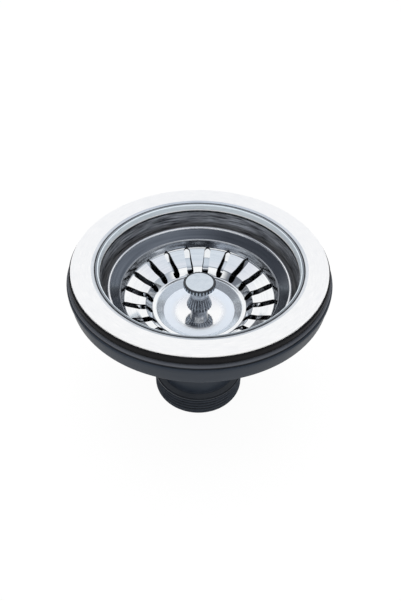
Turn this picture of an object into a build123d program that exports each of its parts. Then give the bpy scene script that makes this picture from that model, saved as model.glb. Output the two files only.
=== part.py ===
from build123d import *
from math import atan, hypot, tan
import os

# Kitchen-sink basket strainer waste, in millimetres.
# +Z points up, out of the sink; the origin is the centre of the outlet's lower end.

# Outlet and neck of the moulded body
outlet_thread_radius = 23.9
outlet_thread_length = 13.0
outlet_chamfer = 0.9
outlet_wall = 4.0
outlet_shoulder = 2.0
neck_step = 3.9
neck_length = 12.8

# Bowl, rim and skirt of the moulded body
body_wall = 2.5
bowl_gap = 2.5
bowl_cone_height = 38.2
bowl_wall_height = 17.6
rim_overhang = 0.7
rim_thickness = 2.6
rim_edge_round = 0.6
rim_band_height = 1.7
skirt_step = 0.35
skirt_taper = 0.35
skirt_wall = 2.2
skirt_height = 7.7

# Hub that holds the nut, and the ribs that carry it
hub_wall = 2.7
hub_length = 15.2
hub_floor = 2.0
rib_count = 4
rib_thickness = 2.4
rib_height = 10.0

# Rubber seals between the flange and the body
body_gasket_thickness = 1.6
body_gasket_overhang = 1.0
body_gasket_round = 0.7
flange_gasket_thickness = 3.37
flange_gasket_overhang = 0.9
gasket_bore_margin = 0.9
gasket_gap = 0.02

# Pressed flange and cup
cup_sheet = 0.8
cup_radius = 45.0
cup_ledge_rise = 0.8
cup_ledge_overlap = 1.3
cup_ledge_fall = 0.6
cup_ledge_bend = 0.9
cup_cone_inset = 2.4
cup_cone_gap = 1.4
cup_cone_bend = 0.5
cup_shelf_inset = 1.6
cup_shelf_gap = 3.5
cup_floor_rise = 15.2
cup_floor_gap = 4.76
cup_bend = 3.0
lip_width = 1.45
lip_bend = 1.6
lip_slant = 0.9
lip_drop = 1.8
lip_step = 0.3
seam_width = 0.4
flange_width = 10.15
flange_fall = 1.2
dimple_margin = 2.2
dimple_taper = 0.8
dimple_bend = 0.9
drain_hole_count = 8
drain_hole_radius = 3.2
drain_hole_margin = 1.8

# Clamping screw, its washer and its nut
screw_radius = 3.0
screw_clearance = 0.3
screw_tip_reach = 1.5
screw_slot_width = 1.6
screw_slot_depth = 2.0
socket_wall = 2.5
socket_floor = 0.9
socket_end_gap = 0.75
washer_overhang = 0.8
washer_thickness = 0.8
insert_wall = 1.8
insert_recess = 1.2
thread_gap = 0.04

# Pressed basket
basket_sheet = 0.7
basket_rim_gap = 2.2
basket_bead_radius = 0.75
collar_width = 5.7
collar_drop = 4.8
basket_wall_drop = 4.7
basket_wall_taper = 1.1
slope_width = 6.6
slope_drop = 3.1
shelf_width = 3.5
shelf_drop = 0.8
land_slant = 3.1
land_drop = 3.6
land_width = 1.9
dish_depth = 4.4
dish_taper = 3.7
dish_floor_rise = 1.7
dish_floor_softness = 0.82
basket_bend = 1.2
slot_count = 20
slot_width = 3.3
slot_inner_overrun = 0.1
slot_outer_overrun = 0.3

# Knob
knob_top_radius = 7.65
knob_top_thickness = 2.1
knob_bevel_width = 0.6
knob_bevel_drop = 0.25
knob_seat_gap = 0.05
knob_neck_radius = 3.9
knob_neck_length = 3.65
knob_taper_height = 5.9
knob_bell_radius = 6.1
knob_bell_rise = 1.7
knob_bell_edge = 0.8
knob_foot_radius = 4.2
knob_foot_height = 3.6
knob_flute_count = 24
knob_flute_radius = 0.5
knob_bead_count = 30
knob_bead_radius = 0.4

# Stem, plug, nut and catch below the basket
stem_radius = 2.0
stem_gap = 0.05
stem_in_knob = 11.0
stem_tip_length = 0.8
plug_height = 11.3
plug_overlap = 3.3
plug_shoulder = 3.5
plug_wall = 3.2
plug_crown = 3.0
plug_seat_gap = 0.1
plate_overhang = 4.5
plate_thickness = 0.8
nut_wall = 1.5
nut_height = 3.2
catch_lift = 0.7
catch_clearance = 0.08
sleeve_length = 4.4
sleeve_wall = 1.37
sleeve_end_gap = 0.1
sleeve_slit = 0.8
clip_reach = 1.0
clip_thickness = 0.6
clip_gap = 0.05
clip_groove_depth = 0.4
clip_opening = 2.6

# Radii of the outlet and the neck
outlet_bore_radius = outlet_thread_radius - outlet_wall
neck_radius = outlet_thread_radius - neck_step
neck_bore_radius = neck_radius - body_wall

# Radii from the cup outwards
bowl_bore_radius = cup_radius + bowl_gap
bowl_radius = bowl_bore_radius + body_wall
gasket_bore_radius = bowl_bore_radius + gasket_bore_margin
lip_radius = cup_radius + lip_width
flange_inner_radius = lip_radius + seam_width
flange_radius = flange_inner_radius + flange_width
flange_gasket_radius = flange_radius + flange_gasket_overhang
body_gasket_radius = flange_gasket_radius + body_gasket_overhang
rim_radius = body_gasket_radius + rim_overhang

# Radii from the cup inwards
basket_rim_radius = cup_radius - basket_rim_gap
collar_radius = basket_rim_radius - collar_width
basket_wall_radius = collar_radius - basket_wall_taper
slope_radius = basket_wall_radius - slope_width
shelf_radius = slope_radius - shelf_width
land_outer_radius = shelf_radius - land_slant
dish_radius = land_outer_radius - land_width
dish_floor_radius = dish_radius - dish_taper
cup_ledge_radius = basket_rim_radius - cup_ledge_overlap
cup_cone_radius = basket_wall_radius - cup_cone_inset
cup_shelf_radius = slope_radius - cup_shelf_inset
slot_inner_radius = land_outer_radius - slot_inner_overrun
slot_outer_radius = basket_wall_radius + slot_outer_overrun

# Radii from the stem outwards
clip_radius = stem_radius + clip_reach
nut_across_flats = 2 * (stem_radius + nut_wall)
plate_radius = nut_across_flats / 2 + plate_overhang
sleeve_radius = stem_radius + stem_gap + sleeve_wall
socket_radius = sleeve_radius + catch_clearance
screw_head_radius = socket_radius + socket_wall
washer_radius = screw_head_radius + washer_overhang
dimple_radius = washer_radius + dimple_margin
drain_hole_circle = dimple_radius + drain_hole_margin + drain_hole_radius
plug_radius = drain_hole_circle + drain_hole_radius + plug_overlap
plug_top_radius = plug_radius - plug_shoulder
insert_radius = screw_radius + insert_wall
hub_radius = insert_radius + hub_wall

# Heights from the outlet up to the flange
outlet_bore_depth = outlet_thread_length - outlet_shoulder
neck_top = outlet_thread_length + neck_length
bowl_knee_height = neck_top + bowl_cone_height
rim_top = bowl_knee_height + bowl_wall_height
gasket_joint = rim_top + body_gasket_thickness
flange_slope = flange_fall / flange_width
flange_sheet_height = cup_sheet * hypot(1, flange_slope)
flange_top = gasket_joint + flange_gasket_thickness + gasket_gap + flange_sheet_height
flange_inner_top = flange_top - flange_fall
lip_top = flange_inner_top - lip_step
cup_floor_height = neck_top + cup_floor_rise

# Cone of the bowl, and the cup's floor inside it
cone_slope = (bowl_radius - neck_radius) / bowl_cone_height
cone_wall = body_wall * hypot(1, cone_slope)
cup_floor_radius = neck_radius + cup_floor_rise * cone_slope - cone_wall - cup_floor_gap

# Heights from the cup's floor up to the basket's rim
plug_bottom = cup_floor_height + plug_seat_gap
plug_top = plug_bottom + plug_height
dish_floor = plug_top + basket_sheet
land_height = dish_floor + dish_depth
shelf_height = land_height + land_drop
slope_bottom = shelf_height + shelf_drop
basket_wall_bottom = slope_bottom + slope_drop
collar_bottom = basket_wall_bottom + basket_wall_drop
basket_rim_top = collar_bottom + collar_drop
cup_ledge_height = collar_bottom + cup_ledge_rise
cup_cone_height = slope_bottom - cup_cone_gap
cup_shelf_height = shelf_height - cup_shelf_gap

# Heights from the plug down to the screw's tip
plate_top = plug_top - plug_crown
nut_top = plate_top - plate_thickness
nut_bottom = nut_top - nut_height
sleeve_top = nut_bottom - sleeve_end_gap
sleeve_bottom = sleeve_top - sleeve_length
clip_top = sleeve_bottom - sleeve_end_gap
clip_bottom = clip_top - clip_thickness
stem_bottom = clip_bottom - clip_gap - stem_tip_length
socket_bottom = stem_bottom - socket_end_gap
screw_head_top = nut_bottom - catch_lift
screw_head_bottom = socket_bottom - socket_floor
dimple_floor = screw_head_bottom - washer_thickness
hub_top = dimple_floor - cup_sheet
hub_bottom = hub_top - hub_length
insert_bottom = hub_bottom + hub_floor
insert_top = hub_top - insert_recess
screw_tip_height = hub_bottom - screw_tip_reach


def turned(corners):
    """Solid turned about Z from a closed outline of (radius, height, rounding) corners."""
    points = [(radius, height) for radius, height, rounding in corners]
    roundings = [rounding for radius, height, rounding in corners]
    outline = FilletPolyline(*points, radius=roundings, close=True)
    return revolve(Plane.XZ * make_face(outline), Axis.Z)


def ring(inner_radius, outer_radius, bottom, top):
    """Plain ring about Z."""
    corners = [
        (inner_radius, bottom, 0),
        (outer_radius, bottom, 0),
        (outer_radius, top, 0),
        (inner_radius, top, 0),
    ]
    return turned(corners)


def rod(radius, bottom, top):
    """Round rod on the Z axis."""
    return Pos(0, 0, bottom) * extrude(Circle(radius), top - bottom)


def sheet_section(corners, thickness):
    """Section of a pressed sheet whose upper face follows the (radius, height, rounding) corners."""
    points = [(radius, height) for radius, height, rounding in corners]
    roundings = [rounding for radius, height, rounding in corners[1:-1]]
    upper_face = FilletPolyline(*points, radius=roundings).wire()
    return make_face(upper_face.offset_2d(thickness, side=Side.LEFT))


def cone_bore_height(radius):
    """Height at which the inside of the bowl's cone has this radius."""
    return neck_top + (radius + cone_wall - neck_radius) / cone_slope


def flange_underside(radius):
    """Height of the flange's lower face at this radius."""
    return flange_top - (flange_radius - radius) * flange_slope - flange_sheet_height


def make_body_shell():
    """Moulded wall: threaded end, neck, conical bowl, rim and skirt."""
    rim_underside = rim_top - rim_thickness
    band_bottom = rim_top - rim_band_height
    skirt_top_radius = rim_radius - skirt_step
    skirt_bore_radius = skirt_top_radius - skirt_wall
    soft = body_wall
    corners = [
        (outlet_bore_radius, 0, 0),
        (outlet_thread_radius - outlet_chamfer, 0, 0),
        (outlet_thread_radius, outlet_chamfer, 0),
        (outlet_thread_radius, outlet_thread_length, rim_edge_round),
        (neck_radius, outlet_thread_length, rim_edge_round),
        (neck_radius, neck_top, soft),
        (bowl_radius, bowl_knee_height, 2 * soft),
        (bowl_radius, rim_underside, rim_edge_round),
        (skirt_bore_radius, rim_underside, rim_edge_round),
        (skirt_bore_radius, rim_top - skirt_height, 0),
        (skirt_top_radius - skirt_taper, rim_top - skirt_height, rim_edge_round),
        (skirt_top_radius, band_bottom, 0),
        (rim_radius, band_bottom, 0),
        (rim_radius, rim_top, rim_edge_round),
        (bowl_bore_radius, rim_top, 0),
        (bowl_bore_radius, cone_bore_height(bowl_bore_radius), soft),
        (neck_bore_radius, cone_bore_height(neck_bore_radius), soft),
        (neck_bore_radius, outlet_bore_depth, 0),
        (outlet_bore_radius, outlet_bore_depth, 0),
    ]
    return turned(corners)


def make_hub():
    """Central hub, counterbored for the nut and drilled for the screw's tip."""
    corners = [
        (screw_radius + screw_clearance, hub_bottom, 0),
        (hub_radius, hub_bottom, 0),
        (hub_radius, hub_top, 0),
        (insert_radius + thread_gap, hub_top, 0),
        (insert_radius + thread_gap, insert_bottom, 0),
        (screw_radius + screw_clearance, insert_bottom, 0),
    ]
    return turned(corners)


def make_ribs():
    """Ribs from the hub to the wall of the neck and the bowl."""
    inner = (hub_radius + insert_radius) / 2
    rib_top = hub_bottom + rib_height
    neck_reach = (neck_radius + neck_bore_radius) / 2
    cone_reach = neck_radius + (rib_top - neck_top) * cone_slope - cone_wall / 2
    web = make_face(
        Polyline(
            (inner, hub_bottom),
            (neck_reach, hub_bottom),
            (neck_reach, neck_top),
            (cone_reach, rib_top),
            (inner, rib_top),
            close=True,
        )
    )
    rib = extrude(Plane.XZ * web, rib_thickness / 2, both=True)
    return [Rot(0, 0, number * 360 / rib_count) * rib for number in range(rib_count)]


def make_waste_body():
    return make_body_shell() + make_hub() + make_ribs()


def make_body_gasket():
    """Flat rubber ring on the body's rim, rounded where it shows."""
    corners = [
        (gasket_bore_radius, rim_top, 0),
        (body_gasket_radius, rim_top, body_gasket_round / 2),
        (body_gasket_radius, gasket_joint, body_gasket_round),
        (gasket_bore_radius, gasket_joint, 0),
    ]
    return turned(corners)


def make_flange_gasket():
    """Thick rubber ring whose upper face follows the sloping flange."""
    corners = [
        (gasket_bore_radius, gasket_joint, 0),
        (flange_gasket_radius, gasket_joint, body_gasket_round),
        (flange_gasket_radius, flange_underside(flange_gasket_radius) - gasket_gap, body_gasket_round),
        (gasket_bore_radius, flange_underside(gasket_bore_radius) - gasket_gap, 0),
    ]
    return turned(corners)


def make_flange_cup():
    """Flange, rolled lip, wall, ledge, stepped cone, drilled floor and screw dimple in one sheet."""
    corners = [
        (flange_radius, flange_top, 0),
        (flange_inner_radius, flange_inner_top, 0),
        (lip_radius, lip_top, 0),
        (cup_radius + lip_bend / 3, lip_top - lip_slant, 1.5 * lip_bend),
        (cup_radius, lip_top - lip_slant - lip_drop, lip_bend),
        (cup_radius, cup_ledge_height, cup_bend),
        (cup_ledge_radius, cup_ledge_height - cup_ledge_fall, cup_ledge_bend),
        (cup_cone_radius, cup_cone_height, cup_cone_bend),
        (cup_shelf_radius, cup_shelf_height, cup_bend),
        (cup_floor_radius, cup_floor_height, cup_bend),
        (dimple_radius, cup_floor_height, dimple_bend),
        (dimple_radius - dimple_taper, dimple_floor, dimple_bend),
        (screw_radius + screw_clearance, dimple_floor, 0),
    ]
    cup = revolve(Plane.XZ * sheet_section(corners, cup_sheet), Axis.Z)
    drill = rod(drain_hole_radius, cup_floor_height - 2 * cup_sheet, cup_floor_height + cup_sheet)
    return cup - PolarLocations(drain_hole_circle, drain_hole_count) * drill


def make_centre_screw():
    """Screw with a tall round head, a driver slot and a blind socket for the catch."""
    corners = [
        (0, screw_tip_height, 0),
        (screw_radius, screw_tip_height, 0),
        (screw_radius, screw_head_bottom, 0),
        (screw_head_radius, screw_head_bottom, 0),
        (screw_head_radius, screw_head_top, 0),
        (socket_radius, screw_head_top, 0),
        (socket_radius, socket_bottom, 0),
        (0, socket_bottom, 0),
    ]
    slot_middle = screw_head_top - screw_slot_depth / 2
    slot = Box(3 * screw_head_radius, screw_slot_width, screw_slot_depth)
    return turned(corners) - Pos(0, 0, slot_middle) * slot


def make_screw_washer():
    return ring(screw_radius + screw_clearance, washer_radius, dimple_floor, screw_head_bottom)


def make_insert_nut():
    return ring(screw_radius + thread_gap, insert_radius, insert_bottom, insert_top)


def make_basket_shell():
    """Rolled rim, conical collar, slotted shelf and polished dish in one sheet."""
    bead_centre = (basket_rim_radius - basket_bead_radius, basket_rim_top - basket_bead_radius)
    floor_run = (dish_floor_radius - stem_radius) / 2
    floor_curve = dish_floor_softness * floor_run / tan(atan(dish_floor_rise / floor_run) / 2)
    corners = [
        (bead_centre[0], bead_centre[1] + basket_sheet / 2, 0),
        (collar_radius, collar_bottom, basket_bend),
        (basket_wall_radius, basket_wall_bottom, basket_bend),
        (slope_radius, slope_bottom, 2 * basket_bend),
        (shelf_radius, shelf_height, basket_bend),
        (land_outer_radius, land_height, basket_bend),
        (dish_radius, land_height, basket_sheet),
        (dish_floor_radius, dish_floor + dish_floor_rise, basket_bend),
        (dish_floor_radius - floor_run, dish_floor, floor_curve),
        (stem_radius + stem_gap, dish_floor, 0),
    ]
    section = sheet_section(corners, basket_sheet) + Pos(*bead_centre) * Circle(basket_bead_radius)
    shell = revolve(Plane.XZ * section, Axis.Z)
    slot_middle = (slot_inner_radius + slot_outer_radius) / 2
    outline = SlotOverall(slot_outer_radius - slot_inner_radius, slot_width)
    punch = extrude(Pos(0, 0, dish_floor) * outline, collar_bottom - dish_floor)
    return shell - PolarLocations(slot_middle, slot_count, 180 / slot_count) * punch


def make_knob():
    """Turned bell-shaped knob with a flat beaded top and a fluted lower edge."""
    base = dish_floor + knob_seat_gap
    soft = knob_neck_radius / 2
    foot_top = base + knob_foot_height
    bell_bottom = foot_top + knob_bell_rise
    bell_top = bell_bottom + knob_bell_edge
    neck = bell_top + knob_taper_height
    disc_bottom = neck + knob_neck_length + soft
    top = disc_bottom + knob_top_thickness
    corners = [
        (0, base, 0),
        (knob_foot_radius, base, 0),
        (knob_foot_radius, foot_top, knob_bell_edge),
        (knob_bell_radius, bell_bottom, knob_bell_edge / 2),
        (knob_bell_radius, bell_top, knob_bell_edge / 2),
        (knob_neck_radius, neck, 2 * soft),
        (knob_neck_radius, disc_bottom - soft, soft),
        (knob_top_radius, disc_bottom, 0),
        (knob_top_radius, top - knob_bevel_drop, 0),
        (knob_top_radius - knob_bevel_width, top, 0),
        (0, top, 0),
    ]
    flute = rod(knob_flute_radius, foot_top, neck)
    bead_groove = rod(knob_bead_radius, disc_bottom - soft, top + soft)
    threaded_hole = rod(stem_radius + thread_gap, base - soft, base + stem_in_knob + stem_radius)
    knob = turned(corners) - threaded_hole
    knob -= PolarLocations(knob_bell_radius, knob_flute_count) * flute
    return knob - PolarLocations(knob_top_radius, knob_bead_count) * bead_groove


def make_stem():
    """Threaded stem with a groove for the clip near its lower end."""
    groove_radius = stem_radius - clip_groove_depth
    corners = [
        (0, stem_bottom, 0),
        (stem_radius, stem_bottom, 0),
        (stem_radius, clip_bottom - clip_gap, 0),
        (groove_radius, clip_bottom - clip_gap, 0),
        (groove_radius, clip_top + clip_gap, 0),
        (stem_radius, clip_top + clip_gap, 0),
        (stem_radius, dish_floor + stem_in_knob, 0),
        (0, dish_floor + stem_in_knob, 0),
    ]
    return turned(corners)


def make_stopper_seal():
    """Bell-shaped rubber plug that closes the ring of drain holes."""
    corners = [
        (stem_radius + stem_gap, plate_top, 0),
        (plug_radius - plug_wall, plate_top, plug_wall / 2),
        (plug_radius - plug_wall, plug_bottom, 0),
        (plug_radius, plug_bottom, 0),
        (plug_radius, plate_top, plug_wall / 2),
        (plug_top_radius, plug_top, 0),
        (stem_radius + stem_gap, plug_top, 0),
    ]
    return turned(corners)


def make_stopper_plate():
    return ring(stem_radius + stem_gap, plate_radius, nut_top, plate_top)


def make_stem_nut():
    hexagon = RegularPolygon(nut_across_flats / 2, 6, major_radius=False)
    blank = Pos(0, 0, nut_bottom) * extrude(hexagon, nut_height)
    return blank - rod(stem_radius + thread_gap, nut_bottom, nut_top)


def make_catch_sleeve():
    """Plastic sleeve, slit crosswise so that it springs in the screw's socket."""
    sleeve = ring(stem_radius + stem_gap, sleeve_radius, sleeve_bottom, sleeve_top)
    slit_height = sleeve_length / 2
    slit = Box(3 * sleeve_radius, sleeve_slit, slit_height)
    slits = [slit, Rot(0, 0, 90) * slit]
    return sleeve - [Pos(0, 0, sleeve_bottom + slit_height / 2) * cut for cut in slits]


def make_stem_clip():
    """Open spring clip in the stem's groove."""
    clip = ring(stem_radius - clip_groove_depth + clip_gap, clip_radius, clip_bottom, clip_top)
    mouth = Box(clip_radius, clip_opening, 2 * clip_thickness)
    return clip - Pos(clip_radius / 2 + stem_gap, 0, (clip_bottom + clip_top) / 2) * mouth


os.makedirs("parts", exist_ok=True)

nodes = {
    "flange_cup": make_flange_cup(),
    "flange_gasket": make_flange_gasket(),
    "body_gasket": make_body_gasket(),
    "waste_body": make_waste_body(),
    "centre_screw": make_centre_screw(),
    "screw_washer": make_screw_washer(),
    "insert_nut": make_insert_nut(),
    "basket_shell": make_basket_shell(),
    "knob": make_knob(),
    "stem": make_stem(),
    "stopper_seal": make_stopper_seal(),
    "stopper_plate": make_stopper_plate(),
    "stem_nut": make_stem_nut(),
    "catch_sleeve": make_catch_sleeve(),
    "stem_clip": make_stem_clip(),
}

for name, solid in nodes.items():
    solid.label = name
    export_step(solid, f"parts/{name}.step")
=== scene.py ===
"""Looks, light and camera for the basket strainer waste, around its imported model."""

import math

import bmesh
import bpy
from mathutils import Matrix, Vector


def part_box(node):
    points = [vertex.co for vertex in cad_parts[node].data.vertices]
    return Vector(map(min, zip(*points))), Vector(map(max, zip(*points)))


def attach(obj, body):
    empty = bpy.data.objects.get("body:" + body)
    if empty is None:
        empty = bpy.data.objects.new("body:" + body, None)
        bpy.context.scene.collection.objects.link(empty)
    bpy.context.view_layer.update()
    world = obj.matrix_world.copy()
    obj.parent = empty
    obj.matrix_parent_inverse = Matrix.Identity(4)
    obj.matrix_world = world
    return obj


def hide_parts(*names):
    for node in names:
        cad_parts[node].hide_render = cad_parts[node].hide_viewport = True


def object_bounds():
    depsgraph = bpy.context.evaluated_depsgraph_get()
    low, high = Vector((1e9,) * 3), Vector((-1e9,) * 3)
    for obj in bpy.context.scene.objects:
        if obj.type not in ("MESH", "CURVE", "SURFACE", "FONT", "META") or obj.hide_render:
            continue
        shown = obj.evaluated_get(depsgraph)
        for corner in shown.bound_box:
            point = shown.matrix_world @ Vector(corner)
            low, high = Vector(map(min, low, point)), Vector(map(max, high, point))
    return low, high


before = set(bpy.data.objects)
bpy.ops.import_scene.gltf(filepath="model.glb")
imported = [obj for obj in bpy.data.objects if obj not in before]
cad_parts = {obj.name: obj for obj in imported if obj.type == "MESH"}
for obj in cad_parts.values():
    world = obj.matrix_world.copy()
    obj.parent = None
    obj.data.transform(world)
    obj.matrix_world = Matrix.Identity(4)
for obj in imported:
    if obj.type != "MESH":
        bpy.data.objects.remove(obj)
cad_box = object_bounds()

# Lengths are in millimetres here; meshes are made in metres
MM = 0.001

# Fineness of the meshes
TURN_STEPS = 288
KNOB_STEPS = 360
ARC_STEP = math.radians(9)
SHARP_ANGLE = math.radians(28)
HOLE_END_STEPS = 12
HUB_STEPS = 96
CUP_ROW_LENGTH = 1.5
CUP_HOLE_COLUMNS = 18
BASKET_ROW_LENGTH = 1.0
BASKET_HOLE_COLUMNS = 7
KNOB_ROW_LENGTH = 0.35
SEAL_ROW_LENGTH = 2.0
BODY_ROW_LENGTH = 4.0
MERGE_DISTANCE_M = 1e-7
LEAST_MITRE = 0.5

# Camera, fitted to the photograph
PHOTO_HEIGHT_PX = 601
FOCAL_PX = 496.348
SENSOR_MM = 36.0
CAMERA_PITCH = math.radians(43.756)
CAMERA_ROLL = math.radians(0.952)
CAMERA_TURN = math.radians(-2.75)
CAMERA_AT = Vector((0.554, -173.595, 227.097)) * MM


def height_range(node):
    """Lowest and highest point of a node, in millimetres."""
    low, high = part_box(node)
    return low.z / MM, high.z / MM


# Pressed flange and cup
CUP_SHEET = 0.8
FLANGE_RADIUS = 57.0
FLANGE_WIDTH = 10.15
FLANGE_FALL = 1.2
FLANGE_ROLL_WIDTH = 1.3
FLANGE_ROLL_DROP = 0.55
SEAM_WIDTH = 0.4
SEAM_MARGIN = 0.22
LIP_STEP = 0.3
LIP_WIDTH = 1.45
LIP_BEND = 1.6
LIP_EDGE_INSET = 0.3
LIP_EDGE_DROP = 0.25
LIP_EDGE_ROUND = 0.6
LIP_SLANT = 0.9
LIP_DROP = 1.8
# Under the lip: a band of painted highlight, then a line of painted shade
WALL_GLINT_WIDTH = 0.5
WALL_LINE_WIDTH = 1.1
CUP_BEND = 3.0
CUP_LEDGE_RISE = 0.8
CUP_LEDGE_OVERLAP = 1.3
CUP_LEDGE_FALL = 0.6
CUP_LEDGE_BEND = 0.9
CUP_CONE_INSET = 2.4
CUP_CONE_GAP = 1.4
CUP_CONE_BEND = 0.5
CUP_SHELF_INSET = 1.6
CUP_SHELF_GAP = 3.5
CUP_FLOOR_RADIUS = 24.0
CUP_FLOOR_HEIGHT = 41.0
DIMPLE_RADIUS = 9.0
DIMPLE_TAPER = 0.8
DIMPLE_BEND = 0.9
SCREW_HOLE_RADIUS = 3.3
DRAIN_HOLE_COUNT = 8
DRAIN_HOLE_RADIUS = 3.2
DRAIN_HOLE_CIRCLE = 14.0
FLANGE_TOP = height_range("flange_cup")[1]
DIMPLE_FLOOR = height_range("screw_washer")[0]
FLANGE_INNER_RADIUS = FLANGE_RADIUS - FLANGE_WIDTH
LIP_RADIUS = FLANGE_INNER_RADIUS - SEAM_WIDTH
CUP_RADIUS = LIP_RADIUS - LIP_WIDTH
LIP_TOP = FLANGE_TOP - FLANGE_FALL - LIP_STEP
LIP_FOOT = LIP_TOP - LIP_SLANT - LIP_DROP

# Pressed basket
BASKET_SHEET = 0.7
BEAD_RADIUS = 0.75
BEAD_STEPS = 24
BASKET_BEND = 1.2
COLLAR_WIDTH = 5.7
COLLAR_DROP = 4.8
WALL_TAPER = 1.1
WALL_DROP = 4.7
FOLD_SHARE = 0.1
SLOPE_WIDTH = 6.6
SLOPE_DROP = 3.1
SHELF_WIDTH = 3.5
SHELF_DROP = 0.8
LAND_SLANT = 3.1
LAND_DROP = 3.6
LAND_WIDTH = 1.9
DISH_DEPTH = 4.4
DISH_TAPER = 3.7
DISH_FLOOR_RISE = 1.7
DISH_FLOOR_SOFTNESS = 0.82
DISH_POLISH_END = 10.3
DISH_SATIN_START = 15.0
DISH_POLISH_WANDER = 1.0
STEM_HOLE_RADIUS = 2.05
SLOT_COUNT = 20
SLOT_HALF_WIDTH = 1.65
SLOT_INNER_OVERRUN = 0.1
SLOT_OUTER_OVERRUN = 0.3
BASKET_RIM_TOP = height_range("basket_shell")[1]
BASKET_RIM_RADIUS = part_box("basket_shell")[1].x / MM
COLLAR_RADIUS = BASKET_RIM_RADIUS - COLLAR_WIDTH
BASKET_WALL_RADIUS = COLLAR_RADIUS - WALL_TAPER
SLOPE_RADIUS = BASKET_WALL_RADIUS - SLOPE_WIDTH
SHELF_RADIUS = SLOPE_RADIUS - SHELF_WIDTH
LAND_OUTER_RADIUS = SHELF_RADIUS - LAND_SLANT
DISH_RADIUS = LAND_OUTER_RADIUS - LAND_WIDTH
DISH_FLOOR_RADIUS = DISH_RADIUS - DISH_TAPER
COLLAR_FOOT = BASKET_RIM_TOP - COLLAR_DROP
WALL_FOOT = COLLAR_FOOT - WALL_DROP
SLOPE_FOOT = WALL_FOOT - SLOPE_DROP
SHELF_HEIGHT = SLOPE_FOOT - SHELF_DROP
LAND_HEIGHT = SHELF_HEIGHT - LAND_DROP
DISH_FLOOR = LAND_HEIGHT - DISH_DEPTH
SLOT_INNER = LAND_OUTER_RADIUS - SLOT_INNER_OVERRUN
SLOT_OUTER = BASKET_WALL_RADIUS + SLOT_OUTER_OVERRUN
CUP_LEDGE_RADIUS = BASKET_RIM_RADIUS - CUP_LEDGE_OVERLAP
CUP_LEDGE_HEIGHT = COLLAR_FOOT + CUP_LEDGE_RISE
CUP_CONE_RADIUS = BASKET_WALL_RADIUS - CUP_CONE_INSET
CUP_CONE_HEIGHT = SLOPE_FOOT - CUP_CONE_GAP
CUP_SHELF_RADIUS = SLOPE_RADIUS - CUP_SHELF_INSET
CUP_SHELF_HEIGHT = SHELF_HEIGHT - CUP_SHELF_GAP

# Turned knob
KNOB_HOLE_RADIUS = 2.04
KNOB_HOLE_DEPTH = 13.0
KNOB_FOOT_RADIUS = 4.2
KNOB_FOOT_HEIGHT = 3.6
KNOB_BELL_RADIUS = 6.1
KNOB_BELL_RISE = 1.7
KNOB_BELL_EDGE = 0.8
KNOB_TAPER_HEIGHT = 5.9
KNOB_NECK_RADIUS = 3.9
KNOB_TOP_RADIUS = 7.65
KNOB_TOP_THICKNESS = 2.1
KNOB_BEVEL_WIDTH = 0.6
KNOB_BEVEL_DROP = 0.25
KNOB_BORDER_WIDTH = 0.6
KNOB_FLUTE_COUNT = 24
KNOB_FLUTE_RADIUS = 0.5
KNOB_BEAD_COUNT = 30
KNOB_BEAD_RADIUS = 0.4
KNOB_GROOVE_SHARE = 0.5
KNOB_BASE, KNOB_TOP = height_range("knob")

# Rubber seals
SEAL_BORE = 48.4
SEAL_ROUND = 0.7
UPPER_SEAL_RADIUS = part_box("flange_gasket")[1].x / MM
LOWER_SEAL_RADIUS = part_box("body_gasket")[1].x / MM
SEAL_JOINT = height_range("flange_gasket")[0]

# Moulded body
OUTLET_RADIUS = 23.9
OUTLET_BORE = 19.9
OUTLET_BORE_DEPTH = 11.0
OUTLET_CHAMFER = 0.9
THREAD_LENGTH = 13.0
THREAD_PITCH = 2.309
THREAD_DEPTH = 1.1
THREAD_FADE = 1.4
THREAD_GROOVE_SHARE = 0.5
THREAD_ROWS = 84
NECK_RADIUS = 20.0
NECK_BORE = 17.5
NECK_TOP = 25.8
BODY_WALL = 2.5
BOWL_RADIUS = 50.0
BOWL_KNEE_HEIGHT = 64.0
RIM_EDGE_ROUND = 0.6
RIM_THICKNESS = 2.6
RIM_BAND_HEIGHT = 1.7
SKIRT_STEP = 0.35
SKIRT_TAPER = 0.35
SKIRT_WALL = 2.2
SKIRT_HEIGHT = 7.7
HUB_RADIUS = 7.5
HUB_BORE = 4.84
HUB_TIP_BORE = 3.3
HUB_LENGTH = 15.2
HUB_FLOOR = 2.0
RIB_COUNT = 4
RIB_THICKNESS = 2.4
RIB_HEIGHT = 10.0
RIM_TOP = height_range("waste_body")[1]
RIM_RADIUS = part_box("waste_body")[1].x / MM
HUB_TOP = DIMPLE_FLOOR - CUP_SHEET


# Mesh helpers

def rounded_path(corners, row_length):
    """Rows (radius, height, zone) along straight runs with rounded corners.

    A corner is (radius, height, rounding, zone); its zone holds up to the next corner.
    """
    rows = []
    last = len(corners) - 1
    for index, (radius, height, rounding, zone) in enumerate(corners):
        here = Vector((radius, height))
        points = [here]
        if rounding and 0 < index < last:
            previous = Vector(corners[index - 1][:2])
            following = Vector(corners[index + 1][:2])
            points = corner_arc(previous, here, following, rounding)
        if rows:
            origin = Vector(rows[-1][:2])
            gap = points[0] - origin
            pieces = max(1, math.ceil(gap.length / row_length))
            for piece in range(1, pieces):
                between = origin + gap * piece / pieces
                rows.append((between.x, between.y, rows[-1][2]))
        rows.extend((point.x, point.y, zone) for point in points)
    return rows


def corner_arc(previous, corner, following, rounding):
    """Points of the arc that rounds a corner."""
    before = (previous - corner).normalized()
    after = (following - corner).normalized()
    turn = math.pi - before.angle(after)
    start = corner + before * rounding * math.tan(turn / 2)
    middle = corner + (before + after).normalized() * (rounding / math.cos(turn / 2))
    side = 1 if before.x * after.y - before.y * after.x < 0 else -1
    steps = max(2, math.ceil(turn / ARC_STEP))
    arm = start - middle
    return [middle + Matrix.Rotation(side * turn * step / steps, 2) @ arm for step in range(steps + 1)]


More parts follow.
